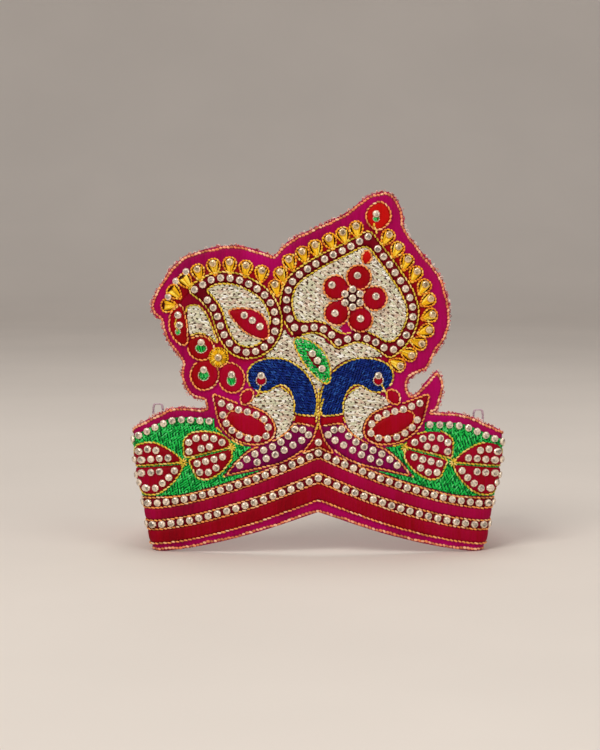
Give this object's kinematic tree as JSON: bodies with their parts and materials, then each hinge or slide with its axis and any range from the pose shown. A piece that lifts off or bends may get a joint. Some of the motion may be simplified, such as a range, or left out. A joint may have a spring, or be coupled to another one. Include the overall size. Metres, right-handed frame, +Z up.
{
  "type": "mukut crown",
  "caption": "Stiffened satin mukut crown standing on its band and two folded side flaps, its face covered with embroidered peacocks, paisleys, flowers and rows of stones.",
  "frame": {"origin": "middle of the footprint of the bounding box, on the surface that the crown stands on", "axes": "+X to the wearer's left along the width, seen from the front to the right; +Y from the face to the open back; +Z up"},
  "size_m": [0.1512, 0.0798, 0.1432],
  "materials": {
    "magenta_satin": "woven satin",
    "crimson_satin": "satin stitched in close upright rows",
    "red_satin": "woven satin",
    "purple_satin": "woven satin",
    "green_thread": "machine embroidery",
    "cream_thread": "silver zari embroidery with needle holes",
    "blue_thread": "machine embroidery",
    "gold_thread": "gold zari embroidery",
    "tie_thread": "plain thread",
    "rhinestone": "foil-backed cut stones"
  },
  "bodies": {
    "root": {"crown_panel": "magenta_satin", "lower_satin": "crimson_satin", "upper_satin": "crimson_satin", "centre_point": "crimson_satin", "lower_stone_row": "rhinestone", "upper_stone_row": "rhinestone", "left_paisley_ring": "rhinestone", "right_paisley_ring": "rhinestone", "top_stone_row_left": "rhinestone", "top_stone_row_right": "rhinestone", "wing_left": "rhinestone", "wing_right": "rhinestone", "boat_left": "purple_satin", "boat_right": "purple_satin", "green_leaf": "green_thread", "green_field_left": "green_thread", "green_field_right": "green_thread", "neck_left": "blue_thread", "neck_right": "blue_thread", "left_paisley_field": "cream_thread", "right_paisley_field": "cream_thread", "curl_field": "cream_thread", "centre_field": "cream_thread", "body_left": "cream_thread", "body_right": "cream_thread", "left_drop_row": "gold_thread", "middle_drop_row": "gold_thread", "right_drop_row": "gold_thread", "between_drop": "gold_thread", "gold_centre": "gold_thread", "flower": "red_satin", "tip_bud": "red_satin", "left_paisley_leaf": "red_satin", "paisley_seed": "red_satin", "left_oval": "red_satin", "left_petal_upper": "red_satin", "left_petal_lower": "red_satin", "left_petal_inner": "red_satin", "collar_left": "red_satin", "collar_right": "red_satin", "wing_leaf_left": "red_satin", "wing_leaf_right": "red_satin", "beak_left": "red_satin", "beak_right": "red_satin", "eye_left": "red_satin", "eye_right": "red_satin", "inner_petal_upper_left": "red_satin", "inner_petal_upper_right": "red_satin", "inner_petal_lower_left": "red_satin", "inner_petal_lower_right": "red_satin", "outer_petal_upper_left": "red_satin", "outer_petal_upper_right": "red_satin", "outer_petal_lower_left": "red_satin", "outer_petal_lower_right": "red_satin", "tie_loop_left": "tie_thread", "tie_loop_right": "tie_thread"}
  },
  "joints": []
}
